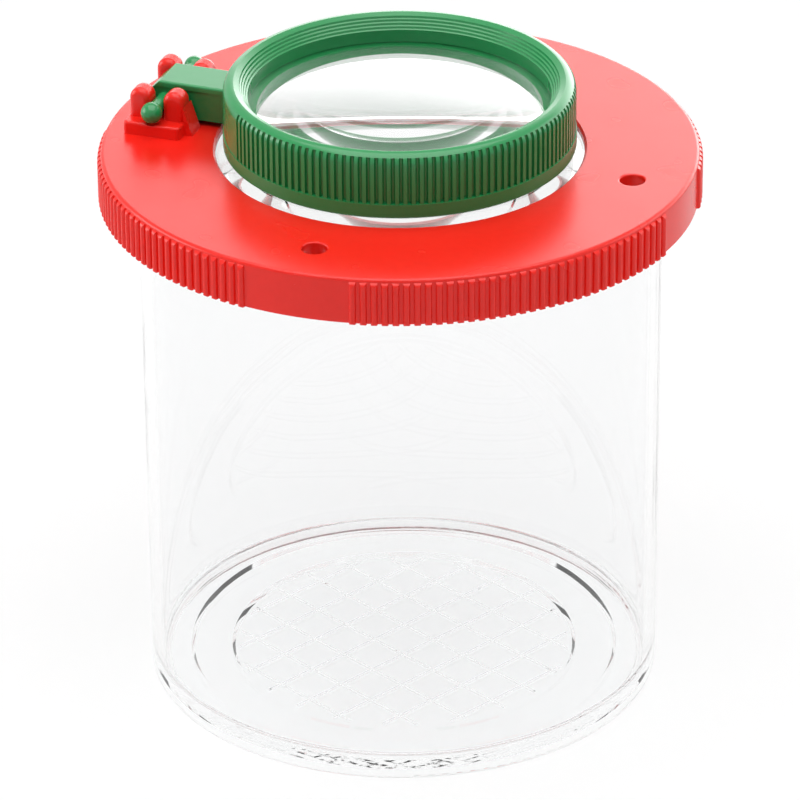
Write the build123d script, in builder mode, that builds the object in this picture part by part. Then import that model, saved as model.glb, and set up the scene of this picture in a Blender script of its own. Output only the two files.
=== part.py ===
"""Insect viewer: a clear jar with a push-on lid, a fixed lens in the lid and a second lens on a flip-up arm.

Millimetres. The jar's axis is Z, its foot stands on z = 0, and the front of the viewer faces -Y.
"""

from build123d import *
from math import cos, radians, sin, sqrt
import os

os.makedirs("parts", exist_ok=True)

# Clearances
slip = 0.05  # radial running fit: lid on jar mouth, pin in its snap brackets, retainer in the ring
gap = 0.3  # free space between pieces that move past each other

# Jar
jar_base_r = 34.6
jar_draft = 0.15  # the wall stands this much further out at the shoulder than at the foot
jar_wall = 1.5
jar_height = 75.1
mouth_height = 4.8
shoulder_rise = 2.0
shoulder_step = 2.7
foot_round = 0.8
foot_recess = 0.9
foot_width = 2.4
floor_top = 1.9  # the engraved middle of the floor
floor_step = 0.5  # each ring of the floor stands this much above the next one inwards
floor_round = 1.2
floor_ring_width = 3.9
grid_margin = 5.6  # from the edge of the grid's disc to the edge of the next ring
grid_pitch = 5.75
grid_turn = 43.5
grid_edge = 1.0  # the lines stop this far inside the edge of the grid's disc
grid_line_width = 0.35
grid_line_depth = 0.25

# Lid
lid_wall = 2.05
lid_plate = 1.8
skirt_gap = 0.2  # the skirt ends this much above the jar's shoulder
rim_round = 0.5
rim_chamfer = 0.15
rib_r = 0.45  # half-round ribs that stand this far out of the rim
rib_pitch = 1.4
rib_crown = 0.7  # the ribs round off over this height at the top
plain_half_angle = 11.0
first_vent_angle = -110.0
vent_r = 1.65
vent_round = 0.25
vent_inset = 3.75  # from the vents' circle to the inside of the jar's mouth
vent_spacing = 7.8  # from the vents' circle to the opening for the lens

# Fixed lens in the lid
lid_lens_lip = 1.0  # thickness of the plate that is left above the lens edge
lid_lens_ledge = 1.0  # the lens edge reaches this far under the plate
lid_lens_edge = 1.4
lid_lens_top_rise = 1.8
lid_lens_low_rise = 2.2
collar_wall = 1.5
collar_bead = 0.9
collar_catch = 0.4

# Flip-up magnifier
ring_inset = 1.05  # the closed ring stays this much inside the lid's opening
ring_lift = 0.6  # height of the closed ring above the lid
ring_height = 8.95
ring_wall = 1.85
ring_round = 1.4
ring_band_step = 0.1
ring_band_height = 2.0
mouth_lip = 0.75
mouth_lip_drop = 0.3
sight_step = 1.4  # width of the step that the lens bears against
sight_band = 1.72
sight_drop = 1.9
flute_r = 0.28
flute_depth = 0.5
flute_end = 0.5  # the flutes end this far below the ring's top
flute_pitch = 1.07
flute_span = 271.0
ridges = 4
lens_edge = 1.6
lens_rise = 2.5
lens_play = 0.2  # radial
retainer_width = 2.8
retainer_inset = 0.2  # the retainer stays this much inside the ring's underside

# Hinge: pin across the end of the arm, held in two snap brackets on the lid
hinge_angle = first_vent_angle - 90.0
hinge_reach = 8.75  # from the ring's widest part to the pin
pin_lift = 3.3
neck_r = 0.98
ball_r = 1.45
arm_half = 2.9
arm_lip = 0.2
arm_lip_height = 0.8
arm_above = 2.5
arm_below = 2.5
arm_slope = 1.8
arm_round = 0.3
prong_depth = 3.0
prong_width = 3.0
prong_throat = 1.75
prong_above = 2.4
prong_round = 0.85
prong_flare = 1.3
prong_flare_top = 0.55
base_half = 4.0
base_height = 1.75
base_depth = 4.9
base_round = 0.3

# Sizes that follow from the ones above
jar_body_r = jar_base_r + jar_draft
mouth_r = jar_body_r + shoulder_step
mouth_z = jar_height - mouth_height
shoulder_z = mouth_z - shoulder_rise
floor_ring_r = jar_base_r - jar_wall - floor_ring_width
grid_r = floor_ring_r - grid_margin
grid_lines = 2 * int((grid_r - grid_edge) / grid_pitch + 0.5)
rim_r = mouth_r + slip + lid_wall
lid_r = rim_r + rib_r
lid_top = jar_height + lid_plate
skirt_z = mouth_z + skirt_gap
vent_circle_r = mouth_r - jar_wall - vent_inset
opening_r = vent_circle_r - vent_spacing
lid_lens_r = opening_r + lid_lens_ledge
seat_z = lid_top - lid_lens_lip
ring_band_r = opening_r - ring_inset
ring_r = ring_band_r - ring_band_step
ring_bore_r = ring_r - ring_wall
ring_sight_r = ring_bore_r - sight_step
ring_crest_r = ring_r - ring_round
ring_mouth_r = ring_crest_r - mouth_lip
ring_bottom = lid_top + ring_lift
ring_top = ring_bottom + ring_height
sight_z = ring_top - sight_drop
lens_top_z = sight_z - sight_band
retainer_r = ring_bore_r - retainer_width
hinge_r = ring_band_r + hinge_reach
pin_z = lid_top + pin_lift
bracket_in = arm_half + arm_lip + gap
ball_t = bracket_in + prong_depth + gap + sqrt(ball_r**2 - neck_r**2)

# Planes at the pin: across it, with x outwards and y up, and flat on the lid below it
a = radians(hinge_angle)
outwards = (cos(a), sin(a), 0)
along_pin = (sin(a), -cos(a), 0)
hinge = Plane(origin=(hinge_r * cos(a), hinge_r * sin(a), pin_z), x_dir=outwards, z_dir=along_pin)
hinge_foot = Plane(origin=(hinge_r * cos(a), hinge_r * sin(a), lid_top), x_dir=outwards, z_dir=(0, 0, 1))


def dome_mid(r, z, rise):
    """Point half-way out on a spherical dome that starts at radius r, height z and rises by rise."""
    ball = (r**2 + rise**2) / (2 * abs(rise))
    drop = ball - sqrt(ball**2 - (r / 2) ** 2)
    return (r / 2, z + rise - drop * (1 if rise > 0 else -1))


# Jar: moulded in one piece, with a wider mouth that takes the lid
with BuildPart() as jar:
    with BuildSketch(Plane.XZ):
        with BuildLine():
            outer_floor = floor_top + 2 * floor_step
            inner_r = jar_base_r - jar_wall
            Polyline(
                (jar_base_r - foot_round, 0),
                (jar_base_r - foot_width + 0.5, 0),
                (jar_base_r - foot_width, foot_recess),
                (0, foot_recess),
                (0, floor_top),
                (grid_r - 0.4, floor_top),
                (grid_r, floor_top + floor_step),
                (floor_ring_r - 0.4, floor_top + floor_step),
                (floor_ring_r, outer_floor),
                (inner_r - floor_round, outer_floor),
            )
            RadiusArc((inner_r - floor_round, outer_floor), (inner_r, outer_floor + floor_round), -floor_round)
            Polyline(
                (inner_r, outer_floor + floor_round),
                (jar_body_r - jar_wall, shoulder_z + 0.8),
                (mouth_r - jar_wall, mouth_z + 0.8),
                (mouth_r - jar_wall, jar_height),
                (mouth_r, jar_height),
                (mouth_r, mouth_z),
                (jar_body_r, shoulder_z),
                (jar_base_r, foot_round),
            )
            RadiusArc((jar_base_r - foot_round, 0), (jar_base_r, foot_round), -foot_round)
        make_face()
    revolve(axis=Axis.Z)
    with BuildSketch(Plane.XY.offset(floor_top).rotated((0, 0, grid_turn))):
        with GridLocations(grid_pitch, 1, grid_lines, 1):
            Rectangle(grid_line_width, 2 * grid_r)
        with GridLocations(1, grid_pitch, 1, grid_lines):
            Rectangle(2 * grid_r, grid_line_width)
        Circle(grid_r - grid_edge, mode=Mode.INTERSECT)
    extrude(amount=-grid_line_depth, mode=Mode.SUBTRACT)

# Prong: one of the four round-topped fingers that the pin snaps between
with BuildPart() as prong:
    with BuildSketch():
        with BuildLine():
            root, tip = base_height - 2 * base_round - pin_lift, prong_above - prong_width / 2
            Polyline((0, tip), (0, root), (prong_width, root), (prong_width, tip))
            ThreePointArc((0, tip), (prong_width / 2, prong_above), (prong_width, tip))
        make_face()
    extrude(amount=prong_depth)
    fillet(prong.edges().filter_by(GeomType.CIRCLE), prong_round)

# Ribs of the lid's rim: half-round, in four groups, rounded off at the top
with BuildPart() as ribs:
    with BuildSketch(Plane.XY.offset(skirt_z)):
        span = 90 - 2 * plain_half_angle
        ribs_per_quarter = round(radians(span) * lid_r / rib_pitch) + 1
        for quarter in range(4):
            first = first_vent_angle + 90 * quarter + plain_half_angle
            with PolarLocations(rim_r, ribs_per_quarter, first, span, endpoint=True):
                Circle(rib_r)
    rib_start = lid_top - rim_round
    extrude(amount=rib_start - skirt_z)
    with BuildSketch(Plane.XZ):
        with BuildLine():
            Polyline(
                (rim_r, rib_start),
                (0, rib_start),
                (0, skirt_z),
                (lid_r - rim_chamfer, skirt_z),
                (lid_r, skirt_z + rim_chamfer),
                (lid_r, rib_start - rib_crown),
            )
            crown_r = (rib_r**2 + rib_crown**2) / (2 * rib_r)
            RadiusArc((rim_r, rib_start), (lid_r, rib_start - rib_crown), crown_r)
        make_face()
    revolve(axis=Axis.Z, mode=Mode.INTERSECT)

# Lid: ribbed rim, three vent holes, lens seat with a snap collar below, two snap brackets on top
with BuildPart() as lid:
    with BuildSketch(Plane.XZ):
        with BuildLine():
            Polyline(
                (rim_r - rim_round, lid_top),
                (0, lid_top),
                (0, skirt_z),
                (rim_r - rim_chamfer, skirt_z),
                (rim_r, skirt_z + rim_chamfer),
                (rim_r, lid_top - rim_round),
            )
            RadiusArc((rim_r - rim_round, lid_top), (rim_r, lid_top - rim_round), rim_round)
        make_face()
    revolve(axis=Axis.Z)
    add(ribs.part)
    with BuildSketch(Plane.XZ):
        with BuildLine():
            seat_r = lid_lens_r + slip
            lens_low = seat_z - lid_lens_edge
            Polyline(
                (0, skirt_z - 1),
                (mouth_r + slip, skirt_z - 1),
                (mouth_r + slip, jar_height),
                (seat_r + collar_wall, jar_height),
                (seat_r + collar_wall, lens_low - collar_bead),
                (seat_r - collar_catch, lens_low - collar_bead),
                (seat_r - collar_catch, lens_low),
                (seat_r, lens_low),
                (seat_r, seat_z),
                (opening_r, seat_z),
                (opening_r, lid_top - 0.3),
                (opening_r + 0.3, lid_top),
                (opening_r + 0.3, lid_top + 1),
                (0, lid_top + 1),
                close=True,
            )
        make_face()
    revolve(axis=Axis.Z, mode=Mode.SUBTRACT)
    with BuildSketch(Plane.XY.offset(lid_top)):
        with PolarLocations(vent_circle_r, 3, first_vent_angle, 180, endpoint=True):
            Circle(vent_r)
    extrude(amount=-lid_plate, mode=Mode.SUBTRACT)
    round_edges = lid.edges().filter_by(GeomType.CIRCLE)
    vent_edges = round_edges.filter_by(lambda edge: abs(edge.radius - vent_r) < 0.001)
    fillet(vent_edges.group_by(Axis.Z)[-1], vent_round)
    with BuildSketch(hinge_foot):
        with Locations((0, bracket_in + base_depth / 2), (0, -bracket_in - base_depth / 2)):
            RectangleRounded(2 * base_half, base_depth, 2 * base_round)
    extrude(amount=base_height)
    fillet(lid.edges().group_by(Axis.Z)[-1], base_round)
    with Locations(hinge.offset(bracket_in), hinge.offset(-bracket_in - prong_depth)):
        with Locations((prong_throat / 2, 0), (-prong_throat / 2 - prong_width, 0)):
            add(prong.part)
    for start, depth in ((bracket_in, prong_depth), (-bracket_in, -prong_depth)):
        with BuildSketch(hinge.offset(start)):
            with BuildLine():
                x = -prong_throat / 2 - prong_width
                Polyline((x, prong_flare_top), (x - prong_flare, -pin_lift), (x, -pin_lift), close=True)
            make_face()
        extrude(amount=depth)
        with BuildSketch(hinge.offset(start)):
            Circle(neck_r + slip)
        extrude(amount=depth, mode=Mode.SUBTRACT)
        with BuildSketch(hinge.offset(start + depth)):
            Circle(ball_r + gap)
        extrude(amount=depth, mode=Mode.SUBTRACT)

# Fixed lens: both faces domed, its flat edge snapped into the lid from below
with BuildPart() as lid_lens:
    with BuildSketch(Plane.XZ):
        with BuildLine():
            high, low = seat_z, seat_z - lid_lens_edge
            top_r, low_r = opening_r - 0.2, lid_lens_r - 0.6
            ThreePointArc(
                (0, high + lid_lens_top_rise), dome_mid(top_r, high, lid_lens_top_rise), (top_r, high)
            )
            Polyline((top_r, high), (lid_lens_r, high), (lid_lens_r, low), (low_r, low))
            bottom = (0, low - lid_lens_low_rise)
            ThreePointArc((low_r, low), dome_mid(low_r, low, -lid_lens_low_rise), bottom)
            Line(bottom, (0, high + lid_lens_top_rise))
        make_face()
    revolve(axis=Axis.Z)

# Arm: a block with a rounded outer end below, a sloped one above and a narrow lip along both top edges
with BuildPart() as arm:
    ring_end = (ring_bore_r + ring_r) / 2 - hinge_r
    with BuildSketch(hinge):
        with BuildLine():
            Polyline(
                (0, -arm_below),
                (ring_end, -arm_below),
                (ring_end, arm_above),
                (arm_below - arm_slope, arm_above),
                (arm_below, arm_above - arm_slope),
                (arm_below, 0),
            )
            RadiusArc((0, -arm_below), (arm_below, 0), -arm_below)
        make_face()
    extrude(amount=arm_half, both=True)
    with BuildSketch(hinge):
        with BuildLine():
            Polyline(
                (ring_end, arm_above),
                (arm_below - arm_slope, arm_above),
                (arm_below - arm_slope + arm_lip_height, arm_above - arm_lip_height),
                (ring_end, arm_above - arm_lip_height),
                close=True,
            )
        make_face()
    extrude(amount=arm_half + arm_lip, both=True)
    fillet(arm.faces().sort_by(Axis.Z)[-1].edges(), arm_round)

# Magnifier frame: fluted ring, arm and pin in one moulding
with BuildPart() as magnifier_frame:
    with BuildSketch(Plane.XZ):
        with BuildLine():
            Polyline(
                (ring_crest_r, ring_top),
                (0, ring_top),
                (0, ring_bottom),
                (ring_band_r - 0.2, ring_bottom),
                (ring_band_r, ring_bottom + 0.2),
                (ring_band_r, ring_bottom + ring_band_height),
                (ring_r, ring_bottom + ring_band_height),
                (ring_r, ring_top - ring_round),
            )
            RadiusArc((ring_crest_r, ring_top), (ring_r, ring_top - ring_round), ring_round)
        make_face()
    revolve(axis=Axis.Z)
    with BuildSketch(Plane.XY.offset(ring_bottom + ring_band_height)):
        flute_count = round(radians(flute_span) * ring_r / flute_pitch) + 1
        first = hinge_angle + (360 - flute_span) / 2
        with PolarLocations(ring_r, flute_count, first, flute_span, endpoint=True):
            SlotOverall(2 * flute_depth, 2 * flute_r)
    extrude(amount=ring_height - ring_band_height - flute_end, mode=Mode.SUBTRACT)
    add(arm.part)
    with BuildSketch(hinge.offset(-ball_t)):
        Circle(neck_r)
    extrude(amount=2 * ball_t)
    with Locations(hinge.offset(ball_t), hinge.offset(-ball_t)):
        Sphere(ball_r)
    with BuildSketch(Plane.XZ):
        with BuildLine():
            ring_lip_z = ring_top - mouth_lip_drop
            run = (ring_mouth_r - ring_sight_r) / ridges
            climb = (ring_lip_z - sight_z) / ridges
            cone = [(ring_sight_r, sight_z)]
            for n in range(ridges):
                r, z = ring_sight_r + n * run, sight_z + n * climb
                cone += [(r + 0.7 * run, z + 0.3 * climb), (r + run, z + climb)]
            Polyline(
                (0, ring_bottom - 1),
                (ring_bore_r, ring_bottom - 1),
                (ring_bore_r, lens_top_z),
                (ring_sight_r, lens_top_z),
                *cone,
                (ring_crest_r, ring_top),
                (ring_crest_r, ring_top + 1),
                (0, ring_top + 1),
                close=True,
            )
        make_face()
    revolve(axis=Axis.Z, mode=Mode.SUBTRACT)

# Magnifier lens: domed above and flat below, held between the step in the frame and the retainer
with BuildPart() as magnifier_lens:
    with BuildSketch(Plane.XZ):
        with BuildLine():
            high, low = lens_top_z, lens_top_z - lens_edge
            edge_r = ring_bore_r - lens_play
            top_r = ring_sight_r - 0.2
            crown = (0, high + lens_rise)
            ThreePointArc(crown, dome_mid(top_r, high, lens_rise), (top_r, high))
            Polyline((top_r, high), (edge_r - 0.3, high), (edge_r, high - 0.3), (edge_r, low))
            Polyline((edge_r, low), (0, low), crown)
        make_face()
    revolve(axis=Axis.Z)

# Retainer: snaps into the ring from below and carries the lens
with BuildPart() as lens_retainer:
    with BuildSketch(Plane.XZ):
        with BuildLine():
            outer_r = ring_bore_r - slip
            foot_z = ring_bottom + retainer_inset
            Polyline(
                (retainer_r, foot_z + 0.4),
                (retainer_r + 0.4, foot_z),
                (outer_r, foot_z),
                (outer_r, lens_top_z - lens_edge),
                (retainer_r, lens_top_z - lens_edge),
                close=True,
            )
        make_face()
    revolve(axis=Axis.Z)

jar.part.label = "jar"
export_step(jar.part, "parts/jar.step")
lid.part.label = "lid"
export_step(lid.part, "parts/lid.step")
lid_lens.part.label = "lid_lens"
export_step(lid_lens.part, "parts/lid_lens.step")
magnifier_frame.part.label = "magnifier_frame"
export_step(magnifier_frame.part, "parts/magnifier_frame.step")
magnifier_lens.part.label = "magnifier_lens"
export_step(magnifier_lens.part, "parts/magnifier_lens.step")
lens_retainer.part.label = "lens_retainer"
export_step(lens_retainer.part, "parts/lens_retainer.step")
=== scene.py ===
"""Insect viewer: materials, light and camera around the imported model, in metres."""

import bpy
import math
import mathutils
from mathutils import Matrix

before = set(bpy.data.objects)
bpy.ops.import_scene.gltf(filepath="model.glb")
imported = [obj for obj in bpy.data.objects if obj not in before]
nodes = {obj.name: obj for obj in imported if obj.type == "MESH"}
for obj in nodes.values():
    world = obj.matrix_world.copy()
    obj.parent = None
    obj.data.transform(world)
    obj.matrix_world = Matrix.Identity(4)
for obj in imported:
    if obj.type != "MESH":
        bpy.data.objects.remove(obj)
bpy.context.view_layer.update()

# Camera: it stands on a slanting line through the viewer's axis at the height of the lid, turned a little
# about that line, and is then tipped down to bring the whole viewer to the middle of the picture
IMAGE_SIZE = 800
AIM_HEIGHT = 0.07694
DISTANCE = 0.8
PITCH = 0.444
ROLL = -0.0078
TIP = 0.04208
FOCAL_PIXELS = 6055
SENSOR = 36.0

# Colours, in scene-linear light
RED = (0.92, 0.018, 0.010)
RED_DEEP = (0.66, 0.010, 0.006)
GREEN = (0.019, 0.295, 0.085)
GREEN_DEEP = (0.012, 0.210, 0.055)
CLEAR = (0.965, 0.968, 0.970)
LENS_CLEAR = (0.997, 0.997, 0.997)

# Floor and surroundings, as light and as they are shown
FLOOR_HALF = 3.0
FLOOR_DROP = 0.0001
FLOOR_WHITE = 0.90
FLOOR_GLOW = 0.62  # share of plain white in the floor where it is looked at
GLOW_STRENGTH = 1.06
WORLD_FILL = 0.14

# Light bounces: light that is caught in the lenses and the jar's wall needs more of them than usual
MOST_BOUNCES = 40
GLASS_BOUNCES = 32


class Tree:
    """A material's or world's node tree, with short calls to add and link its nodes."""

    def __init__(self, owner):
        owner.use_nodes = True
        self.tree = owner.node_tree
        self.tree.nodes.clear()

    def node(self, kind, inputs=None, **settings):
        made = self.tree.nodes.new("ShaderNode" + kind)
        for name, value in settings.items():
            setattr(made, name, value)
        for name, value in (inputs or {}).items():
            if isinstance(value, bpy.types.NodeSocket):
                self.tree.links.new(value, made.inputs[name])
            else:
                made.inputs[name].default_value = value
        return made

    def noise(self, scale, detail=3.0, roughness=0.5):
        """Noise in the object's own coordinates. Scale is in features per metre."""
        place = self.node("TexCoord").outputs["Object"]
        return self.node(
            "TexNoise", {"Vector": place, "Scale": scale, "Detail": detail, "Roughness": roughness}
        ).outputs["Fac"]

    def ramp(self, value, low, high, start=0.0, end=1.0):
        """Value from low..high mapped to start..end."""
        return self.node(
            "MapRange", {"Value": value, "From Min": low, "From Max": high, "To Min": start, "To Max": end}
        ).outputs["Result"]

    def blend(self, factor, first, second):
        mixer = self.node("Mix", data_type="RGBA")
        self.tree.links.new(factor, mixer.inputs["Factor"])
        for socket, value in ((mixer.inputs[6], first), (mixer.inputs[7], second)):
            if isinstance(value, bpy.types.NodeSocket):
                self.tree.links.new(value, socket)
            else:
                socket.default_value = (*value, 1.0)
        return mixer.outputs[2]

    def bump(self, height, strength, distance):
        return self.node(
            "Bump", {"Height": height, "Strength": strength, "Distance": distance}
        ).outputs["Normal"]

    def looked_at(self):
        """1 where the camera looks at the surface, straight or by way of gloss and glass, and 0 where it only
        gives light."""
        path = self.node("LightPath")
        seen = path.outputs["Is Camera Ray"]
        for ray in ("Is Glossy Ray", "Is Transmission Ray"):
            seen = self.node("Math", {0: seen, 1: path.outputs[ray]}, operation="MAXIMUM").outputs[0]
        direct = self.node("Math", {0: path.outputs["Diffuse Depth"], 1: 0.5}, operation="LESS_THAN")
        return self.node("Math", {0: seen, 1: direct.outputs[0]}, operation="MULTIPLY").outputs[0]

    def surface(self, shader):
        self.tree.links.new(shader, self.node("OutputMaterial").inputs["Surface"])


def moulded_plastic(name, colour, deep, rough, gleam):
    """Glossy coloured moulding: faint cloudiness in the colour, flow marks and a fine skin in the gloss."""
    material = bpy.data.materials.new(name)
    tree = Tree(material)
    cloud = tree.ramp(tree.noise(45, 2), 0.35, 0.7)
    speck = tree.ramp(tree.noise(900, 2), 0.4, 0.75)
    shade = tree.blend(cloud, colour, tuple(0.88 * c + 0.12 * d for c, d in zip(colour, deep)))
    shade = tree.blend(tree.ramp(speck, 0, 1, 0, 0.10), shade, deep)
    skin = tree.noise(700, 1)
    flow = tree.noise(60, 2)
    gloss = tree.ramp(tree.noise(180, 1), 0.2, 0.8, rough - 0.03, rough + 0.05)
    normal = tree.bump(skin, 0.03, 0.0001)
    normal = tree.node(
        "Bump", {"Height": flow, "Strength": 0.03, "Distance": 0.0005, "Normal": normal}
    ).outputs["Normal"]
    shader = tree.node(
        "BsdfPrincipled",
        {
            "Base Color": shade,
            "Roughness": gloss,
            "IOR": 1.49,
            "Specular IOR Level": gleam,
            "Normal": normal,
            "Subsurface Weight": 0.06,
            "Subsurface Scale": 0.002,
            "Subsurface Radius": (1.0, 0.35, 0.25) if colour[0] > colour[1] else (0.35, 1.0, 0.4),
        },
    )
    tree.surface(shader.outputs["BSDF"])
    return material


def clear_plastic(name, tint, index, waviness):
    """Clear moulding that bends light, lets lamps through and carries faint flow lines in its skin."""
    material = bpy.data.materials.new(name)
    tree = Tree(material)
    flow = tree.noise(60, 2)
    haze = tree.ramp(tree.noise(300, 1), 0.45, 0.8, 0.0, 0.03)
    shader = tree.node(
        "BsdfPrincipled",
        {
            "Base Color": (*tint, 1.0),
            "Roughness": haze,
            "IOR": index,
            "Transmission Weight": 1.0,
            "Normal": tree.bump(flow, waviness, 0.0005),
        },
    )
    open_air = tree.node("BsdfTransparent", {"Color": (0.93, 0.94, 0.94, 1.0)})
    shadow = tree.node("LightPath").outputs["Is Shadow Ray"]
    mixed = tree.node("MixShader", {"Fac": shadow})
    tree.tree.links.new(shader.outputs["BSDF"], mixed.inputs[1])
    tree.tree.links.new(open_air.outputs["BSDF"], mixed.inputs[2])
    tree.surface(mixed.outputs["Shader"])
    return material


def assign(node, material):
    for slot in nodes[node].material_slots:
        slot.material = material


def lay_floor():
    """Plain pale floor, shown white where nothing shades it."""
    mesh = bpy.data.meshes.new("floor")
    half = FLOOR_HALF
    mesh.from_pydata(
        [(-half, -half, 0), (half, -half, 0), (half, half, 0), (-half, half, 0)], [], [(0, 1, 2, 3)]
    )
    floor = bpy.data.objects.new("floor", mesh)
    bpy.context.collection.objects.link(floor)
    material = bpy.data.materials.new("floor")
    tree = Tree(material)
    shader = tree.node("BsdfDiffuse", {"Color": (FLOOR_WHITE, FLOOR_WHITE, FLOOR_WHITE, 1.0)})
    white = tree.node("Emission", {"Color": (1, 1, 1, 1), "Strength": GLOW_STRENGTH})
    share = tree.node("Math", {0: tree.looked_at(), 1: FLOOR_GLOW}, operation="MULTIPLY")
    mixed = tree.node("MixShader", {"Fac": share.outputs[0]})
    tree.tree.links.new(shader.outputs["BSDF"], mixed.inputs[1])
    tree.tree.links.new(white.outputs["Emission"], mixed.inputs[2])
    tree.surface(mixed.outputs["Shader"])
    mesh.materials.append(material)
    floor.location.z = -FLOOR_DROP


def light_world(fill):
    """White where the camera, a reflection or glass looks at it, and softer as a source of light."""
    world = bpy.data.worlds.new("studio")
    bpy.context.scene.world = world
    tree = Tree(world)
    shown = tree.node("Background", {"Color": (1, 1, 1, 1), "Strength": 1.0})
    lit = tree.node("Background", {"Color": (1, 1, 1, 1), "Strength": fill})
    mixed = tree.node("MixShader", {"Fac": tree.looked_at()})
    tree.tree.links.new(lit.outputs[0], mixed.inputs[1])
    tree.tree.links.new(shown.outputs[0], mixed.inputs[2])
    tree.tree.links.new(mixed.outputs[0], tree.node("OutputWorld").inputs["Surface"])


def soft_lamp(name, place, aim, size, watts):
    """Soft box at place, turned to aim."""
    lamp = bpy.data.lights.new(name, "AREA")
    lamp.shape = "RECTANGLE"
    lamp.size, lamp.size_y = size
    lamp.energy = watts
    box = bpy.data.objects.new(name, lamp)
    bpy.context.collection.objects.link(box)
    box.location = place
    box.rotation_euler = direction_to_euler([a - p for a, p in zip(aim, place)])
    box.visible_camera = box.visible_transmission = False


def reflection_card(name, place, aim, size, strength):
    """Glowing card that only shows as a reflection, bright in the middle and faded out to its edges."""
    half_x, half_y = (side / 2 for side in size)
    mesh = bpy.data.meshes.new(name)
    mesh.from_pydata(
        [(-half_x, -half_y, 0), (half_x, -half_y, 0), (half_x, half_y, 0), (-half_x, half_y, 0)],
        [],
        [(0, 1, 2, 3)],
    )
    card = bpy.data.objects.new(name, mesh)
    bpy.context.collection.objects.link(card)
    material = bpy.data.materials.new(name)
    tree = Tree(material)
    place_on = tree.node("TexCoord").outputs["Object"]
    spread = tree.node("VectorMath", {0: place_on, 1: (1 / half_x, 1 / half_y, 1)}, operation="MULTIPLY")
    reach = tree.node("VectorMath", {0: spread.outputs[0]}, operation="LENGTH").outputs["Value"]
    fade = tree.node(
        "MapRange",
        {"Value": reach, "From Min": 0.0, "From Max": 1.0, "To Min": strength, "To Max": 0.0},
        interpolation_type="SMOOTHSTEP",
    )
    glow = tree.node("Emission", {"Color": (1, 1, 1, 1), "Strength": fade.outputs["Result"]})
    clear = tree.node("BsdfTransparent")
    both = tree.node("AddShader")
    tree.tree.links.new(glow.outputs["Emission"], both.inputs[0])
    tree.tree.links.new(clear.outputs["BSDF"], both.inputs[1])
    tree.surface(both.outputs["Shader"])
    mesh.materials.append(material)
    card.location = place
    card.rotation_euler = direction_to_euler([a - p for a, p in zip(aim, place)])
    card.visible_camera = card.visible_transmission = card.visible_diffuse = card.visible_shadow = False


def direction_to_euler(direction):
    """Rotation that turns -Z towards direction and keeps X level."""
    x, y, z = direction
    flat = math.hypot(x, y)
    return (math.atan2(flat, -z), 0.0, math.atan2(-x, y) if flat > 1e-9 else 0.0)


def place_camera():
    lens = bpy.data.cameras.new("camera")
    lens.sensor_width = SENSOR
    lens.lens = FOCAL_PIXELS * SENSOR / IMAGE_SIZE
    lens.clip_start, lens.clip_end = 0.01, 20
    camera = bpy.data.objects.new("camera", lens)
    bpy.context.collection.objects.link(camera)
    camera.location = (0, -DISTANCE * math.cos(PITCH), AIM_HEIGHT + DISTANCE * math.sin(PITCH))
    turn = mathutils.Matrix.Rotation(math.pi / 2 - PITCH, 3, "X")
    turn = turn @ mathutils.Matrix.Rotation(ROLL, 3, "Z") @ mathutils.Matrix.Rotation(-TIP, 3, "X")
    camera.rotation_euler = turn.to_euler()
    bpy.context.scene.camera = camera


red = moulded_plastic("red_plastic", RED, RED_DEEP, 0.24, 0.36)
green = moulded_plastic("green_plastic", GREEN, GREEN_DEEP, 0.22, 0.5)
jar_clear = clear_plastic("clear_jar", CLEAR, 1.5, 0.05)
lens_clear = clear_plastic("clear_lens", LENS_CLEAR, 1.49, 0.0)
assign("lid", red)
assign("magnifier_frame", green)
assign("lens_retainer", green)
assign("jar", jar_clear)
assign("lid_lens", lens_clear)
assign("magnifier_lens", lens_clear)

lay_floor()
light_world(WORLD_FILL)
soft_lamp("overhead", (0.0, -0.10, 0.90), (0, 0, 0.05), (1.0, 1.0), 8.8)
soft_lamp("left", (-1.0, 0.12, 0.32), (0, 0, 0.07), (0.7, 0.5), 4.6)
soft_lamp("right", (1.0, 0.25, 0.42), (0, 0, 0.06), (0.7, 0.7), 3.0)
reflection_card("back", (0.45, 0.95, 0.24), (0.1, 0, 0.08), (2.2, 1.5), 5.2)

place_camera()
bpy.context.scene.view_settings.view_transform = "Standard"

cycles = bpy.context.scene.cycles
cycles.max_bounces = MOST_BOUNCES
cycles.glossy_bounces = cycles.transmission_bounces = GLASS_BOUNCES
